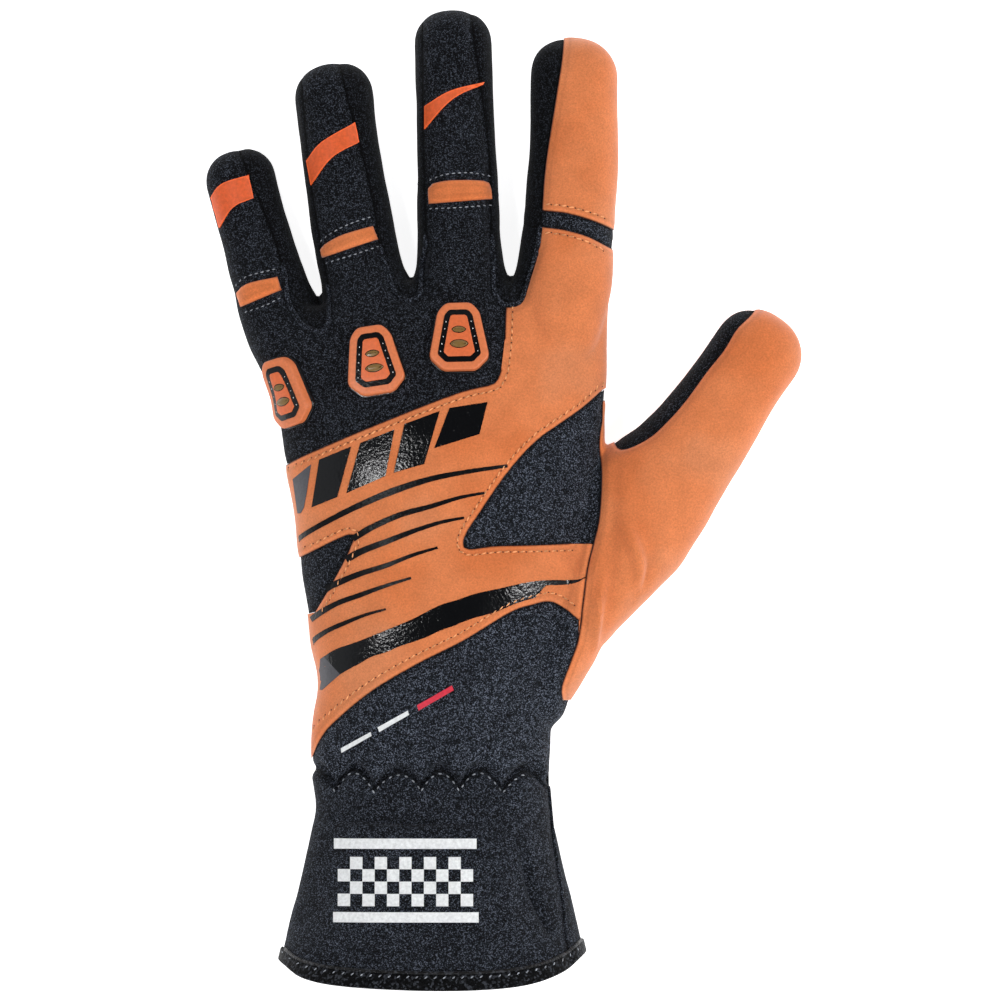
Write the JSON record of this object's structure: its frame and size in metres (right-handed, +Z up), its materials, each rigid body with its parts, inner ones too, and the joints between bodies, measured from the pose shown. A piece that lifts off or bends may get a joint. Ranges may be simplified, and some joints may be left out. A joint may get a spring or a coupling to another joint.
{
  "type": "karting glove",
  "caption": "Hollow left-hand karting glove lying on its palm, with knit and suede panels, moulded knuckle pads, flex strips, an elastic wrist gather and a flared cuff.",
  "frame": {"origin": "on the floor under the centre of the bounding box", "axes": "+Z up out of the back of the hand, +Y along the hand to the fingertips, +X to the thumb's side"},
  "size_m": [0.1698, 0.2802, 0.0498],
  "materials": {
    "knit": "heathered stretch knit, matt",
    "suede": "orange synthetic suede, short nap",
    "palm_suede": "black synthetic suede",
    "pad_rubber": "moulded orange rubber, satin",
    "flex_strip": "raised soft print, satin",
    "binding": "woven satin binding"
  },
  "bodies": {
    "root": {"hand_back": "knit", "index_band": "knit", "fourchette_little_ring": "knit", "fourchette_ring_middle": "knit", "fourchette_middle_index": "knit", "thumb_strip": "knit", "web_inset": "knit", "side_inset": "knit", "wrist": "knit", "cuff_back": "knit", "cuff_gusset": "knit", "hand_suede": "suede", "index_tip": "suede", "thumb_suede": "suede", "palm": "palm_suede", "knuckle_pad_little": "pad_rubber", "knuckle_pad_ring": "pad_rubber", "knuckle_pad_middle": "pad_rubber", "flex_strip_little": "flex_strip", "flex_strip_ring": "flex_strip", "flex_strip_middle": "flex_strip", "hem_binding": "binding"}
  },
  "joints": []
}
